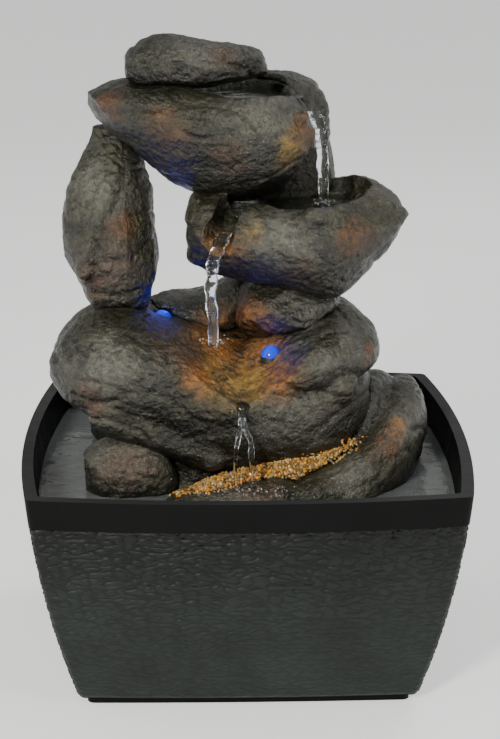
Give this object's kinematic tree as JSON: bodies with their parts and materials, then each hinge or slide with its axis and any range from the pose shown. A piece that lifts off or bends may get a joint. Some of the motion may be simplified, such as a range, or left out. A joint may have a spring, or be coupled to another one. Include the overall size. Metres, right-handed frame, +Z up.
{
  "type": "tabletop water fountain",
  "caption": "Tapered square basin with a lift-out deck carrying a tower of stacked stones and pools, with a submersible pump, riser hose and blue lamps.",
  "frame": {"origin": "centre of the base, on the plane that the foot pads stand on", "axes": "+Z up, -Y towards the front, +X to the right seen from the front"},
  "size_m": [0.205, 0.2051, 0.2901],
  "materials": {
    "stone": "cast stone, wet gloss",
    "dark_stone": "dark cast stone, wet",
    "gravel": "gold and orange gravel",
    "basin": "satin with slate grooves",
    "deck": "satin",
    "rubber": "matt",
    "hose": "clear grey hose",
    "black_plastic": "semi-gloss",
    "white_plastic": "semi-gloss",
    "grey_plastic": "satin",
    "ceramic_shaft": "ground",
    "magnet": "sintered ferrite",
    "sponge": "open foam",
    "nickel": "plated",
    "cable": "matt jacket",
    "board": "green solder mask",
    "blue_lens": "clear blue lens"
  },
  "bodies": {
    "basin": {"basin_shell": "basin", "foot_pads": "rubber", "inlet_jack": "black_plastic", "inlet_seal": "rubber", "inlet_nut": "nickel", "inlet_boot": "rubber", "pump_lead": "cable", "pump_body": "black_plastic", "pump_chamber": "black_plastic", "pump_shaft": "ceramic_shaft", "front_bush": "rubber", "rear_bush": "rubber", "suction_cups": "rubber", "pump_lead_gland": "rubber", "lamp_socket": "black_plastic"},
    "deck": {"deck": "deck"},
    "tower": {"base_stone": "dark_stone", "left_shelf_stone": "stone", "right_shelf_stone": "stone", "spout_stone": "stone", "sill_stone": "dark_stone", "neck_stone": "dark_stone", "middle_bowl_stone": "stone", "pillar_stone": "stone", "upper_bowl_stone": "stone", "riser_stone": "stone", "cap_stone": "stone", "right_lip_stone": "stone", "left_pebble": "stone", "bank_stone": "stone", "apron_stone": "stone", "rear_left_stone": "stone", "rear_right_stone": "stone", "gravel_bed": "gravel", "riser_hose": "hose", "lamp_plug": "rubber", "lamp_housing_front": "black_plastic", "lamp_board_front": "board", "lamp_lens_front": "blue_lens", "lamp_wire_front": "cable", "lamp_housing_left": "black_plastic", "lamp_board_left": "board", "lamp_lens_left": "blue_lens", "lamp_wire_left": "cable"},
    "rotor": {"rotor_magnet": "magnet", "impeller": "white_plastic"},
    "cover": {"intake_cover": "black_plastic", "intake_sponge": "sponge"},
    "dial": {"flow_dial": "grey_plastic"}
  },
  "joints": [
    {"name": "deck_lift", "type": "slide", "parent": "basin", "child": "deck", "axis": [0, 0, 1], "range_m": [0, 0.11]},
    {"name": "tower_lift", "type": "slide", "parent": "deck", "child": "tower", "axis": [0, 0, 1], "range_m": [0, 0.12]},
    {"name": "rotor_spin", "type": "hinge", "parent": "basin", "child": "rotor", "pos_m": [0.016, 0, 0.029], "axis": [0, 1, 0], "continuous": true},
    {"name": "cover_pull", "type": "slide", "parent": "basin", "child": "cover", "axis": [0, -1, 0], "range_m": [0, 0.03]},
    {"name": "flow_turn", "type": "hinge", "parent": "cover", "child": "dial", "pos_m": [0.016, 0, 0.029], "axis": [0, 1, 0], "range_deg": [0, 85]}
  ]
}
